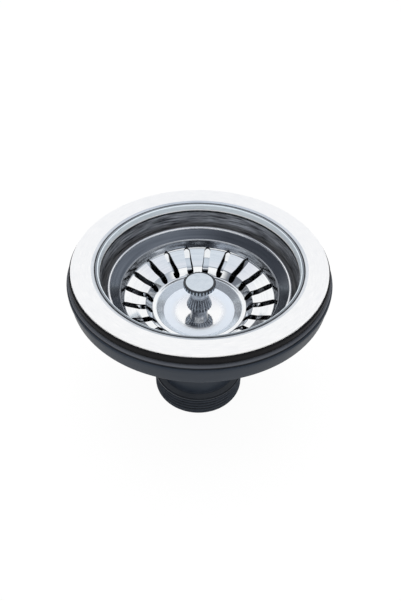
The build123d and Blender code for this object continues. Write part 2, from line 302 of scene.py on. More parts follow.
def offset_rows(rows, distance):
    """The same rows moved sideways, to the left of the way they run."""
    moved = []
    for index, (radius, height, zone) in enumerate(rows):
        here = Vector((radius, height))
        ways = []
        if index:
            ways.append((here - Vector(rows[index - 1][:2])).normalized())
        if index < len(rows) - 1:
            ways.append((Vector(rows[index + 1][:2]) - here).normalized())
        way = sum(ways, Vector((0, 0))).normalized()
        left = Vector((-way.y, way.x))
        spread = max(LEAST_MITRE, way.dot(ways[0]))
        point = here + left * distance / spread
        moved.append((point.x, point.y, zone))
    return moved


def with_radii(rows, radii):
    """Rows that run inwards, with extra rows where they pass the given radii."""
    refined = [rows[0]]
    for row in rows[1:]:
        start = refined[-1]
        for radius in sorted((value for value in radii if row[0] < value < start[0]), reverse=True):
            share = (start[0] - radius) / (start[0] - row[0])
            refined.append((radius, start[1] + share * (row[1] - start[1]), start[2]))
        refined.append(row)
    return refined


def hole_end_radii(middle, reach):
    """Radii that close up towards the two ends of a rounded hole."""
    angles = [math.pi * step / HOLE_END_STEPS for step in range(HOLE_END_STEPS + 1)]
    return [middle - reach * math.cos(angle) for angle in angles]


def mesh_object(name, vertices, faces, zones, materials):
    """Closed mesh object with one material slot per zone, smooth but for sharp edges."""
    slots = list(materials)
    mesh = bpy.data.meshes.new(name)
    mesh.from_pydata(vertices, [], faces)
    for polygon, zone in zip(mesh.polygons, zones):
        polygon.material_index = slots.index(zone)
    edit = bmesh.new()
    edit.from_mesh(mesh)
    bmesh.ops.remove_doubles(edit, verts=edit.verts, dist=MERGE_DISTANCE_M)
    bmesh.ops.dissolve_degenerate(edit, edges=edit.edges, dist=MERGE_DISTANCE_M)
    bmesh.ops.recalc_face_normals(edit, faces=edit.faces)
    edit.to_mesh(mesh)
    edit.free()
    for slot in slots:
        mesh.materials.append(materials[slot])
    mesh.shade_smooth()
    mesh.set_sharp_from_angle(angle=SHARP_ANGLE)
    piece = bpy.data.objects.new(name, mesh)
    bpy.context.scene.collection.objects.link(piece)
    return piece


def turned(name, rows, materials, steps=TURN_STEPS, shape=None, split=None):
    """Closed turned mesh.

    shape(radius, height, angle, zone) may change a radius on the way round.
    split(zone, height, angle) may change the zone of a face.
    """
    vertices = []
    faces = []
    zones = []
    count = len(rows)
    for radius, height, zone in rows:
        for step in range(steps):
            angle = 2 * math.pi * step / steps
            here = shape(radius, height, angle, zone) if shape else radius
            vertices.append((here * math.cos(angle) * MM, here * math.sin(angle) * MM, height * MM))
    for index in range(count):
        following = (index + 1) % count
        for step in range(steps):
            beside = (step + 1) % steps
            faces.append((
                index * steps + step,
                index * steps + beside,
                following * steps + beside,
                following * steps + step,
            ))
            zone = rows[index][2]
            if split:
                middle_height = (rows[index][1] + rows[following][1]) / 2
                middle_angle = 2 * math.pi * (step + 0.5) / steps
                zone = split(zone, middle_height, middle_angle)
            zones.append(zone)
    return mesh_object(name, vertices, faces, zones, materials)


def pressed(name, rows, thickness, materials, back_zone, hole_count, half_hole, columns):
    """Turned sheet with a ring of punched holes.

    rows are the upper side and run inwards; the lower side lies a thickness below.
    half_hole(radius) is half of the angle that a hole takes up at that radius.
    """
    lower = offset_rows(rows, thickness)
    sector = math.pi / hole_count
    vertices = []
    faces = []
    zones = []

    def add(radius, height, angle):
        vertices.append((radius * math.cos(angle) * MM, radius * math.sin(angle) * MM, height * MM))
        return len(vertices) - 1

    for hole in range(hole_count):
        middle = (2 * hole + 1) * sector
        for side in (-1, 1):
            sheets = []
            for sheet in (rows, lower):
                grid = []
                for radius, height, zone in sheet:
                    edge = half_hole(radius)
                    spread = sector - edge
                    grid.append([
                        add(radius, height, middle + side * (edge + spread * column / columns))
                        for column in range(columns + 1)
                    ])
                sheets.append(grid)
            upper_grid, lower_grid = sheets
            for index in range(len(rows) - 1):
                zone = rows[index][2]
                for column in range(columns):
                    for grid, face_zone in ((upper_grid, zone), (lower_grid, back_zone)):
                        faces.append((
                            grid[index][column],
                            grid[index][column + 1],
                            grid[index + 1][column + 1],
                            grid[index + 1][column],
                        ))
                        zones.append(face_zone)
                if half_hole(rows[index][0]) or half_hole(rows[index + 1][0]):
                    faces.append((
                        upper_grid[index][0],
                        upper_grid[index + 1][0],
                        lower_grid[index + 1][0],
                        lower_grid[index][0],
                    ))
                    zones.append(back_zone)
            for index in (0, len(rows) - 1):
                for column in range(columns):
                    faces.append((
                        upper_grid[index][column],
                        upper_grid[index][column + 1],
                        lower_grid[index][column + 1],
                        lower_grid[index][column],
                    ))
                    zones.append(rows[index][2])
    return mesh_object(name, vertices, faces, zones, materials)


# Materials: spans of noise values, shares of the middle roughness at their ends, fineness of the noise
NOISE_SPAN = (0.3, 0.7)
CLOUD_SPAN = (0.35, 0.65)
MARK_ROUGHNESS = (1.25, 0.8)
MOTTLE_ROUGHNESS = (1.3, 0.7)
CLOUD_ROUGHNESS = (0.85, 1.15)
MARK_SCALE = 1.0
MARK_DETAIL = 5
MOTTLE_SCALE = 260
MOTTLE_DETAIL = 4
CLOUD_SCALE = 45
CLOUD_DETAIL = 3
GRAIN_DETAIL = 4
DISH_GRAIN = (500, 1.5, 0)
EVEN_GRAIN = (900, 3, 900)


def new_material(name):
    """Empty node material: the tree and its surface shader."""
    material = bpy.data.materials.new(name)
    material.use_nodes = True
    tree = material.node_tree
    return material, tree, tree.nodes["Principled BSDF"]


def math_node(tree, operation, first, second):
    """Math node between two sockets or numbers."""
    node = tree.nodes.new("ShaderNodeMath")
    node.operation = operation
    for socket, value in zip(node.inputs, (first, second)):
        if isinstance(value, (int, float)):
            socket.default_value = value
        else:
            tree.links.new(value, socket)
    return node.outputs[0]


def axis_place(tree):
    """Radius, angle and height of the shaded point about the axis."""
    place = tree.nodes.new("ShaderNodeTexCoord").outputs["Object"]
    parts = tree.nodes.new("ShaderNodeSeparateXYZ")
    tree.links.new(place, parts.inputs[0])
    x, y, z = parts.outputs
    x_square = math_node(tree, "MULTIPLY", x, x)
    y_square = math_node(tree, "MULTIPLY", y, y)
    radius = math_node(tree, "SQRT", math_node(tree, "ADD", x_square, y_square), 0)
    return radius, math_node(tree, "ARCTAN2", y, x), z


def turned_position(tree, radial_scale, angle_scale, height_scale):
    """Position as (radius, angle, height), each scaled, so that textures can follow the turning."""
    radius, angle, z = axis_place(tree)
    joined = tree.nodes.new("ShaderNodeCombineXYZ")
    tree.links.new(math_node(tree, "MULTIPLY", radius, radial_scale), joined.inputs[0])
    tree.links.new(math_node(tree, "MULTIPLY", angle, angle_scale), joined.inputs[1])
    tree.links.new(math_node(tree, "MULTIPLY", z, height_scale), joined.inputs[2])
    return joined.outputs[0]


def plain_position(tree):
    """Position in the piece's own frame."""
    return tree.nodes.new("ShaderNodeTexCoord").outputs["Object"]


def noise(tree, position, scale, detail):
    """Noise value between 0 and 1."""
    node = tree.nodes.new("ShaderNodeTexNoise")
    node.inputs["Scale"].default_value = scale
    node.inputs["Detail"].default_value = detail
    tree.links.new(position, node.inputs["Vector"])
    return node.outputs["Fac"]


def ramp(tree, value, stops):
    """Colour that follows a value through (place, colour) stops."""
    node = tree.nodes.new("ShaderNodeValToRGB")
    elements = node.color_ramp.elements
    halfway = 0.5
    while len(elements) < len(stops):
        elements.new(halfway)
    for element, (place, colour) in zip(elements, stops):
        element.position = place
        element.color = (*colour, 1)
    tree.links.new(value, node.inputs["Fac"])
    return node.outputs["Color"]


def mix_shaders(tree, share, first, second):
    """First shader that gives way to the second as the share grows."""
    node = tree.nodes.new("ShaderNodeMixShader")
    for socket, value in zip(node.inputs, (share, first, second)):
        tree.links.new(value, socket)
    return node.outputs[0]


def map_range(tree, value, low, high, new_low, new_high):
    """Value moved from one range to another, smoothly and within the new range."""
    node = tree.nodes.new("ShaderNodeMapRange")
    node.interpolation_type = "SMOOTHSTEP"
    for socket, number in zip(list(node.inputs)[1:5], (low, high, new_low, new_high)):
        socket.default_value = number
    tree.links.new(value, node.inputs["Value"])
    return node.outputs["Result"]


def tint(tree, shader, value, span, dark, light):
    """Base colour that goes from dark to light over a span of a noise value."""
    tree.links.new(ramp(tree, value, tuple(zip(span, (dark, light)))), shader.inputs["Base Color"])


def roughen(tree, shader, value, roughness, shares):
    """Roughness that goes between two shares of its middle over the span of a noise value."""
    ends = [roughness * share for share in shares]
    tree.links.new(map_range(tree, value, *NOISE_SPAN, *ends), shader.inputs["Roughness"])


def bump(tree, shader, value, distance):
    """Fine relief in the surface from a noise value, with its depth in metres."""
    node = tree.nodes.new("ShaderNodeBump")
    node.inputs["Distance"].default_value = distance
    tree.links.new(value, node.inputs["Height"])
    tree.links.new(node.outputs["Normal"], shader.inputs["Normal"])


def turned_metal(name, dark, light, roughness, grain, relief=0, metallic=1):
    """Metal with marks that run round the axis.

    grain is (radial, angular, height) fineness of the marks; relief is their depth in metres.
    """
    material, tree, shader = new_material(name)
    marks = noise(tree, turned_position(tree, *grain), MARK_SCALE, MARK_DETAIL)
    tint(tree, shader, marks, NOISE_SPAN, dark, light)
    roughen(tree, shader, marks, roughness, MARK_ROUGHNESS)
    shader.inputs["Metallic"].default_value = metallic
    if relief:
        bump(tree, shader, marks, relief)
    return material


def dish_metal(name, colours, roughness, metallic):
    """Metal that is polished near the axis and satin further out; each value is (polished, satin)."""
    material, tree, shader = new_material(name)
    marks = noise(tree, turned_position(tree, *DISH_GRAIN), MARK_SCALE, MARK_DETAIL)
    wander = math_node(tree, "MULTIPLY", marks, DISH_POLISH_WANDER * MM)
    place = math_node(tree, "ADD", axis_place(tree)[0], wander)
    spread = map_range(tree, place, DISH_POLISH_END * MM, DISH_SATIN_START * MM, 0, 1)
    tree.links.new(ramp(tree, spread, tuple(enumerate(colours))), shader.inputs["Base Color"])
    for socket, ends in (("Roughness", roughness), ("Metallic", metallic)):
        tree.links.new(map_range(tree, spread, 0, 1, *ends), shader.inputs[socket])
    return material


def plain_metal(name, dark, light, roughness):
    """Metal with faint even mottling."""
    material, tree, shader = new_material(name)
    mottle = noise(tree, plain_position(tree), MOTTLE_SCALE, MOTTLE_DETAIL)
    tint(tree, shader, mottle, NOISE_SPAN, dark, light)
    roughen(tree, shader, mottle, roughness, MOTTLE_ROUGHNESS)
    shader.inputs["Metallic"].default_value = 1
    return material


def moulded(name, dark, light, roughness, specular, grain_scale, relief):
    """Plastic or rubber with fine grain from its mould."""
    material, tree, shader = new_material(name)
    place = plain_position(tree)
    cloud = noise(tree, place, CLOUD_SCALE, CLOUD_DETAIL)
    tint(tree, shader, cloud, CLOUD_SPAN, dark, light)
    roughen(tree, shader, cloud, roughness, CLOUD_ROUGHNESS)
    shader.inputs["Specular IOR Level"].default_value = specular
    bump(tree, shader, noise(tree, place, grain_scale, GRAIN_DETAIL), relief)
    return material


satin_steel = turned_metal(
    "satin_steel", dark=(0.935, 0.94, 0.948), light=(0.98, 0.98, 0.982),
    roughness=0.34, grain=(2600, 9, 0), relief=4e-6,
)
# Darker, bluish copy of the flange steel on its rolled edge: painted shade and reflection
shaded_roll_steel = turned_metal(
    "shaded_roll_steel", dark=(0.62, 0.66, 0.71), light=(0.78, 0.81, 0.85),
    roughness=0.3, grain=EVEN_GRAIN,
)
# The lip's flat top is a darker copy and its steep side a lighter copy of one steel: painted shade and
# painted light
shaded_lip_steel = turned_metal(
    "shaded_lip_steel", dark=(0.14, 0.16, 0.185), light=(0.24, 0.265, 0.30),
    roughness=0.35, grain=EVEN_GRAIN, metallic=0.4,
)
lit_lip_side_steel = turned_metal(
    "lit_lip_side_steel", dark=(0.66, 0.74, 0.80), light=(0.82, 0.88, 0.92),
    roughness=0.35, grain=EVEN_GRAIN, metallic=0.3,
)
# Near-white band at the foot of the lip: painted highlight
painted_glint_steel = turned_metal(
    "painted_glint_steel", dark=(0.90, 0.91, 0.92), light=(0.97, 0.975, 0.98),
    roughness=0.3, grain=(900, 2, 900), metallic=0.2,
)
# Near-black steel in the seam's crease and in the line under the lip: painted shade
line_shade_steel = turned_metal(
    "line_shade_steel", dark=(0.03, 0.032, 0.036), light=(0.09, 0.095, 0.10),
    roughness=0.5, grain=(2000, 20, 0),
)
# Dark cup wall, streaked lighter: painted shade and painted reflections on polished steel
shaded_wall_steel = turned_metal(
    "shaded_wall_steel", dark=(0.02, 0.022, 0.028), light=(0.50, 0.52, 0.56),
    roughness=0.36, grain=(300, 4.5, 1100), metallic=0.7,
)
# Dark band round the ledge below the basket's rim: painted shade in the gap
ledge_shade_steel = turned_metal(
    "ledge_shade_steel", dark=(0.10, 0.105, 0.115), light=(0.24, 0.245, 0.26),
    roughness=0.5, grain=EVEN_GRAIN, metallic=0.2,
)
# Lighter strip along the bend at the collar's foot: painted highlight
fold_highlight_steel = turned_metal(
    "fold_highlight_steel", dark=(0.26, 0.28, 0.31), light=(0.50, 0.52, 0.56),
    roughness=0.3, grain=EVEN_GRAIN, metallic=0.5,
)
cone_steel = turned_metal(
    "cone_steel", dark=(0.80, 0.83, 0.86), light=(0.90, 0.92, 0.94),
    roughness=0.08, grain=(300, 2, 300),
)
# Darker copy of the basket's steel on its collar: painted shade and reflection
shaded_collar_steel = turned_metal(
    "shaded_collar_steel", dark=(0.17, 0.185, 0.21), light=(0.27, 0.285, 0.31),
    roughness=0.14, grain=(900, 1.5, 900),
)
dish_wall_steel = turned_metal(
    "dish_wall_steel", dark=(0.82, 0.87, 0.92), light=(0.87, 0.91, 0.95),
    roughness=0.2, grain=(500, 1.5, 500), metallic=0.85,
)
shade_steel = turned_metal(
    "shade_steel", dark=(0.10, 0.105, 0.12), light=(0.70, 0.72, 0.75),
    roughness=0.12, grain=(300, 3, 800),
)
bright_steel = turned_metal(
    "bright_steel", dark=(0.86, 0.88, 0.90), light=(0.95, 0.96, 0.965),
    roughness=0.07, grain=(900, 1.5, 0),
)
dish_steel = dish_metal(
    "dish_steel", colours=((0.96, 0.965, 0.97), (0.845, 0.905, 0.985)),
    roughness=(0.1, 0.5), metallic=(1.0, 0.2),
)
bead_steel = turned_metal(
    "bead_steel", dark=(0.80, 0.81, 0.84), light=(0.93, 0.94, 0.96),
    roughness=0.2, grain=(900, 2, 900),
)
# Near-black copy of the steel on the sheets' undersides and hole walls: painted shade
underside_shade_steel = turned_metal(
    "underside_shade_steel", dark=(0.06, 0.062, 0.066), light=(0.12, 0.123, 0.13),
    roughness=0.3, grain=(500, 3, 500),
)
# The knob's foot, bell and neck: a darker copy of its chrome, painted shade
shaded_knob_chrome = turned_metal(
    "shaded_knob_chrome", dark=(0.22, 0.235, 0.26), light=(0.50, 0.52, 0.55),
    roughness=0.12, grain=(700, 3, 500),
)
# Darker chrome in the bell's flutes: painted shade
flute_shade_chrome = turned_metal(
    "flute_shade_chrome", dark=(0.06, 0.066, 0.075), light=(0.20, 0.21, 0.23),
    roughness=0.16, grain=(700, 6, 500),
)
# Near-black chrome on the bevel round the top face and in the edge's grooves: painted shade
border_shade_chrome = turned_metal(
    "border_shade_chrome", dark=(0.03, 0.033, 0.038), light=(0.10, 0.11, 0.12),
    roughness=0.2, grain=(700, 6, 700),
)
# The knob's top face and edge ridges: a lighter copy of its chrome, painted light
lit_face_chrome = plain_metal(
    "lit_face_chrome", dark=(0.585, 0.65, 0.72), light=(0.66, 0.72, 0.785),
    roughness=0.16,
)
fastener_steel = plain_metal(
    "fastener_steel", dark=(0.56, 0.56, 0.57), light=(0.68, 0.68, 0.69),
    roughness=0.3,
)
brass = plain_metal(
    "brass", dark=(0.70, 0.53, 0.24), light=(0.80, 0.63, 0.32),
    roughness=0.3,
)
gasket_rubber = moulded(
    "gasket_rubber", dark=(0.003, 0.003, 0.004), light=(0.007, 0.007, 0.008),
    roughness=0.55, specular=0.12, grain_scale=1400, relief=8e-6,
)
# Lower seal's rubber, lightened so that its rounded top edge shows a highlight: painted light
lit_seal_rubber = moulded(
    "lit_seal_rubber", dark=(0.048, 0.053, 0.065), light=(0.066, 0.072, 0.086),
    roughness=0.4, specular=0.3, grain_scale=1400, relief=8e-6,
)
# Lower seal's outer side: a darker copy of its rubber, painted shade
seal_side_shade_rubber = moulded(
    "seal_side_shade_rubber", dark=(0.009, 0.010, 0.013), light=(0.014, 0.015, 0.019),
    roughness=0.5, specular=0.15, grain_scale=1400, relief=8e-6,
)
body_plastic = moulded(
    "body_plastic", dark=(0.016, 0.022, 0.032), light=(0.024, 0.031, 0.043),
    roughness=0.42, specular=0.2, grain_scale=1800, relief=9e-6,
)
# The outlet shoulder's top face: a lighter copy of the body's plastic, painted light
lit_shoulder_plastic = moulded(
    "lit_shoulder_plastic", dark=(0.052, 0.058, 0.068), light=(0.066, 0.073, 0.084),
    roughness=0.45, specular=0.2, grain_scale=1800, relief=9e-6,
)
# Darker plastic in the thread's grooves and on the chamfer under the shoulder: painted shade
groove_shade_plastic = moulded(
    "groove_shade_plastic", dark=(0.008, 0.010, 0.014), light=(0.012, 0.015, 0.020),
    roughness=0.5, specular=0.12, grain_scale=1800, relief=9e-6,
)
pale_plastic = moulded(
    "pale_plastic", dark=(0.70, 0.69, 0.65), light=(0.78, 0.77, 0.73),
    roughness=0.4, specular=0.5, grain_scale=1500, relief=8e-6,
)


# Flange and cup

def drain_half_angle(radius):
    """Half of the angle that a round drain hole takes up at a radius from the axis."""
    if abs(radius - DRAIN_HOLE_CIRCLE) >= DRAIN_HOLE_RADIUS:
        return 0.0
    chord = radius ** 2 + DRAIN_HOLE_CIRCLE ** 2 - DRAIN_HOLE_RADIUS ** 2
    return math.acos(min(1.0, chord / (2 * radius * DRAIN_HOLE_CIRCLE)))


def make_flange_cup():
    """Flange, rolled lip and drilled cup, pressed from one sheet."""
    roll_top = FLANGE_TOP - FLANGE_FALL * (1 - FLANGE_ROLL_WIDTH / FLANGE_WIDTH)
    seam_top = roll_top - FLANGE_ROLL_DROP * (1 - SEAM_MARGIN / FLANGE_ROLL_WIDTH)
    corners = [
        (FLANGE_RADIUS, FLANGE_TOP, 0, "satin"),
        # The rolled edge carries painted shade and reflection in its colour
        (FLANGE_INNER_RADIUS + FLANGE_ROLL_WIDTH, roll_top, FLANGE_ROLL_WIDTH, "roll"),
        # The seam's crease is painted shade
        (FLANGE_INNER_RADIUS + SEAM_MARGIN, seam_top, 0, "seam"),
        (FLANGE_INNER_RADIUS, roll_top - FLANGE_ROLL_DROP, 0, "seam"),
        # Darker lip top and lighter lip side: painted shade and painted light
        (LIP_RADIUS, LIP_TOP, 0, "lip"),
        (CUP_RADIUS + LIP_EDGE_INSET, LIP_TOP - LIP_EDGE_DROP, LIP_EDGE_ROUND, "lip_side"),
        # Painted highlight band, then a painted shade line, at the top of the wall
        (CUP_RADIUS, LIP_FOOT, LIP_BEND, "glint"),
        (CUP_RADIUS, LIP_FOOT - WALL_GLINT_WIDTH, 0, "line"),
        (CUP_RADIUS, LIP_FOOT - WALL_GLINT_WIDTH - WALL_LINE_WIDTH, 0, "wall"),
        # The ledge is painted shade
        (CUP_RADIUS, CUP_LEDGE_HEIGHT, CUP_BEND, "ledge"),
        (CUP_LEDGE_RADIUS, CUP_LEDGE_HEIGHT - CUP_LEDGE_FALL, CUP_LEDGE_BEND, "cone"),
        (CUP_CONE_RADIUS, CUP_CONE_HEIGHT, CUP_CONE_BEND, "cone"),
        (CUP_SHELF_RADIUS, CUP_SHELF_HEIGHT, CUP_BEND, "cone"),
        (CUP_FLOOR_RADIUS, CUP_FLOOR_HEIGHT, CUP_BEND, "cone"),
        (DIMPLE_RADIUS, CUP_FLOOR_HEIGHT, DIMPLE_BEND, "cone"),
        (DIMPLE_RADIUS - DIMPLE_TAPER, DIMPLE_FLOOR, DIMPLE_BEND, "cone"),
        (SCREW_HOLE_RADIUS, DIMPLE_FLOOR, 0, "cone"),
    ]
    rows = rounded_path(corners, CUP_ROW_LENGTH)
    rows = with_radii(rows, hole_end_radii(DRAIN_HOLE_CIRCLE, DRAIN_HOLE_RADIUS))
    materials = {
        "satin": satin_steel,
        "roll": shaded_roll_steel,
        "seam": line_shade_steel,
        "lip": shaded_lip_steel,
        "lip_side": lit_lip_side_steel,
        "glint": painted_glint_steel,
        "line": line_shade_steel,
        "wall": shaded_wall_steel,
        "ledge": ledge_shade_steel,
        "cone": cone_steel,
        "back": underside_shade_steel,
    }
    piece = pressed(
        "flange_and_cup", rows, CUP_SHEET, materials, "back",
        DRAIN_HOLE_COUNT, drain_half_angle, CUP_HOLE_COLUMNS,
    )
    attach(piece, "waste")
    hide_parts("flange_cup")


# Basket

def slot_half_angle(radius):
    """Half of the angle that a straight round-ended slot takes up at a radius from the axis."""
    past_inner = SLOT_INNER + SLOT_HALF_WIDTH - radius
    past_outer = radius - (SLOT_OUTER - SLOT_HALF_WIDTH)
    past_end = max(0.0, past_inner, past_outer)
    if past_end >= SLOT_HALF_WIDTH:
        return 0.0
    half_width = math.sqrt(SLOT_HALF_WIDTH ** 2 - past_end ** 2)
    return math.asin(half_width / radius)


def make_basket():
    """Slotted basket with a dish, pressed from one sheet, and the bead round its rim."""
    bead_middle = (BASKET_RIM_RADIUS - BEAD_RADIUS, BASKET_RIM_TOP - BEAD_RADIUS)
    floor_run = (DISH_FLOOR_RADIUS - STEM_HOLE_RADIUS) / 2
    floor_curve = DISH_FLOOR_SOFTNESS * floor_run / math.tan(math.atan(DISH_FLOOR_RISE / floor_run) / 2)
    corners = [
        (bead_middle[0], bead_middle[1] + BASKET_SHEET / 2, 0, "collar"),
        # The bend at the collar's foot carries a painted highlight
        (COLLAR_RADIUS, COLLAR_FOOT, BASKET_BEND, "fold"),
        (COLLAR_RADIUS - FOLD_SHARE * WALL_TAPER, COLLAR_FOOT - FOLD_SHARE * WALL_DROP, 0, "shade"),
        (BASKET_WALL_RADIUS, WALL_FOOT, BASKET_BEND, "bright"),
        (SLOPE_RADIUS, SLOPE_FOOT, 2 * BASKET_BEND, "bright"),
        (SHELF_RADIUS, SHELF_HEIGHT, BASKET_BEND, "bright"),
        (LAND_OUTER_RADIUS, LAND_HEIGHT, BASKET_BEND, "bright"),
        (DISH_RADIUS, LAND_HEIGHT, BASKET_SHEET, "dish_wall"),
        (DISH_FLOOR_RADIUS, DISH_FLOOR + DISH_FLOOR_RISE, BASKET_BEND, "dish"),
        (DISH_FLOOR_RADIUS - floor_run, DISH_FLOOR, floor_curve, "dish"),
        (STEM_HOLE_RADIUS, DISH_FLOOR, 0, "dish"),
    ]
    rows = rounded_path(corners, BASKET_ROW_LENGTH)
    ends = hole_end_radii(SLOT_INNER + SLOT_HALF_WIDTH, SLOT_HALF_WIDTH)
    ends += hole_end_radii(SLOT_OUTER - SLOT_HALF_WIDTH, SLOT_HALF_WIDTH)
    rows = with_radii(rows, ends)
    materials = {
        "collar": shaded_collar_steel,
        "fold": fold_highlight_steel,
        "shade": shade_steel,
        "bright": bright_steel,
        "dish_wall": dish_wall_steel,
        "dish": dish_steel,
        "back": underside_shade_steel,
    }
    piece = pressed(
        "basket", rows, BASKET_SHEET, materials, "back",
        SLOT_COUNT, slot_half_angle, BASKET_HOLE_COLUMNS,
    )
    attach(piece, "basket")
    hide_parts("basket_shell")

    bead_rows = []
    for step in range(BEAD_STEPS):
        angle = 2 * math.pi * step / BEAD_STEPS
        bead_rows.append((
            bead_middle[0] + BEAD_RADIUS * math.cos(angle),
            bead_middle[1] + BEAD_RADIUS * math.sin(angle),
            "bead",
        ))
    bead = turned("basket_rim_bead", bead_rows, {"bead": bead_steel})
    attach(bead, "basket")


# Knob

def grooved(radius, angle, groove_circle, groove_radius, groove_count):
    """Radius left after round grooves, evenly spaced on a circle, are cut along the axis."""
    pitch = 2 * math.pi / groove_count
    away = (angle + pitch / 2) % pitch - pitch / 2
    across = groove_circle * math.sin(away)
    if abs(across) >= groove_radius:
        return radius
    return min(radius, groove_circle * math.cos(away) - math.sqrt(groove_radius ** 2 - across ** 2))


def knob_shape(radius, _height, angle, zone):
    """Flutes on the bell and grooves between the beads of the top's edge."""
    if zone == "bell":
        return grooved(radius, angle, KNOB_BELL_RADIUS, KNOB_FLUTE_RADIUS, KNOB_FLUTE_COUNT)
    if zone in ("edge", "border"):
        return grooved(radius, angle, KNOB_TOP_RADIUS, KNOB_BEAD_RADIUS, KNOB_BEAD_COUNT)
    return radius


def in_groove(angle, groove_count, share):
    """Whether an angle is within the grooves' share of the way round."""
    pitch = 2 * math.pi / groove_count
    return abs((angle + pitch / 2) % pitch - pitch / 2) < share * pitch / 2


def knob_split(zone, _height, angle):
    """Grooves get a darker zone than the ridges between them: painted shade."""
    if zone == "edge" and in_groove(angle, KNOB_BEAD_COUNT, KNOB_GROOVE_SHARE):
        return "border"
    if zone == "bell" and in_groove(angle, KNOB_FLUTE_COUNT, KNOB_GROOVE_SHARE):
        return "flute"
    return zone


def make_knob():
    """Knob with a fluted bell, a neck and a beaded top."""
    soft = KNOB_NECK_RADIUS / 2
    foot_top = KNOB_BASE + KNOB_FOOT_HEIGHT
    bell_bottom = foot_top + KNOB_BELL_RISE
    bell_top = bell_bottom + KNOB_BELL_EDGE
    disc_bottom = KNOB_TOP - KNOB_TOP_THICKNESS
    hole_top = KNOB_BASE + KNOB_HOLE_DEPTH
    corners = [
        (KNOB_HOLE_RADIUS, KNOB_BASE, 0, "foot"),
        (KNOB_FOOT_RADIUS, KNOB_BASE, 0, "foot"),
        (KNOB_FOOT_RADIUS, foot_top, KNOB_BELL_EDGE, "bell"),
        (KNOB_BELL_RADIUS, bell_bottom, KNOB_BELL_EDGE / 2, "bell"),
        (KNOB_BELL_RADIUS, bell_top, KNOB_BELL_EDGE / 2, "bell"),
        (KNOB_NECK_RADIUS, bell_top + KNOB_TAPER_HEIGHT, 2 * soft, "neck"),
        (KNOB_NECK_RADIUS, disc_bottom - soft, soft, "neck"),
        (KNOB_TOP_RADIUS, disc_bottom, 0, "edge"),
        # Dark bevel and border round the top face: painted shade
        (KNOB_TOP_RADIUS, KNOB_TOP - KNOB_BEVEL_DROP, 0, "border"),
        (KNOB_TOP_RADIUS - KNOB_BEVEL_WIDTH, KNOB_TOP, 0, "border"),
        (KNOB_TOP_RADIUS - KNOB_BEVEL_WIDTH - KNOB_BORDER_WIDTH, KNOB_TOP, 0, "face"),
        (0.0, KNOB_TOP, 0, "face"),
        (0.0, hole_top, 0, "foot"),
        (KNOB_HOLE_RADIUS, hole_top, 0, "foot"),
    ]
    rows = rounded_path(corners, KNOB_ROW_LENGTH)
    materials = {
        # Darker sides and lighter top of the one chrome: painted shade and painted light
        "foot": shaded_knob_chrome,
        "bell": shaded_knob_chrome,
        "flute": flute_shade_chrome,
        "neck": shaded_knob_chrome,
        "edge": lit_face_chrome,
        "border": border_shade_chrome,
        "face": lit_face_chrome,
    }
    piece = turned("lift_knob", rows, materials, steps=KNOB_STEPS, shape=knob_shape, split=knob_split)
    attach(piece, "basket")
    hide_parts("knob")


# Seals

def make_seals():
    """The two rubber rings under the flange."""
    flange_slope = FLANGE_FALL / FLANGE_WIDTH
    upper_top = height_range("flange_gasket")[1]
    upper_ring = [
        (SEAL_BORE, SEAL_JOINT, 0, "rubber"),
        (UPPER_SEAL_RADIUS, SEAL_JOINT, SEAL_ROUND, "rubber"),
        (UPPER_SEAL_RADIUS, upper_top, SEAL_ROUND, "rubber"),
        (SEAL_BORE, upper_top - flange_slope * (UPPER_SEAL_RADIUS - SEAL_BORE), 0, "rubber"),
    ]
    # Lighter top edge and darker side of the lower seal: painted highlight and painted shade
    lower_ring = [
        (SEAL_BORE, RIM_TOP, 0, "rubber"),
        (LOWER_SEAL_RADIUS, RIM_TOP, SEAL_ROUND / 2, "side"),
        (LOWER_SEAL_RADIUS, SEAL_JOINT, SEAL_ROUND, "rubber"),
        (SEAL_BORE, SEAL_JOINT, 0, "rubber"),
    ]
    for name, node, corners, materials in (
        ("upper_seal", "flange_gasket", upper_ring, {"rubber": gasket_rubber}),
        ("lower_seal", "body_gasket", lower_ring, {"rubber": lit_seal_rubber, "side": seal_side_shade_rubber}),
    ):
        piece = turned(name, rounded_path(corners, SEAL_ROW_LENGTH), materials)
        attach(piece, "waste")
        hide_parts(node)


# Moulded body

def thread_groove(height, angle):
    """Depth of the thread at a place, from 0 on a ridge to 1 in a groove; it fades out at both ends."""
    phase = (height / THREAD_PITCH - angle / (2 * math.pi)) % 1.0
    from_start = (height - OUTLET_CHAMFER) / THREAD_FADE
    from_end = (THREAD_LENGTH - OUTLET_CHAMFER - height) / THREAD_FADE
    return (0.5 + 0.5 * math.cos(2 * math.pi * phase)) * max(0.0, min(1.0, from_start, from_end))


def thread_shape(radius, height, angle, zone):
    """Helical ridges on the outlet."""
    return radius - THREAD_DEPTH * thread_groove(height, angle) if zone == "thread" else radius


def thread_split(zone, height, angle):
    """Grooves get a darker zone than the ridges between them: painted shade."""
    if zone == "thread" and thread_groove(height, angle) > THREAD_GROOVE_SHARE:
        return "groove"
    return zone


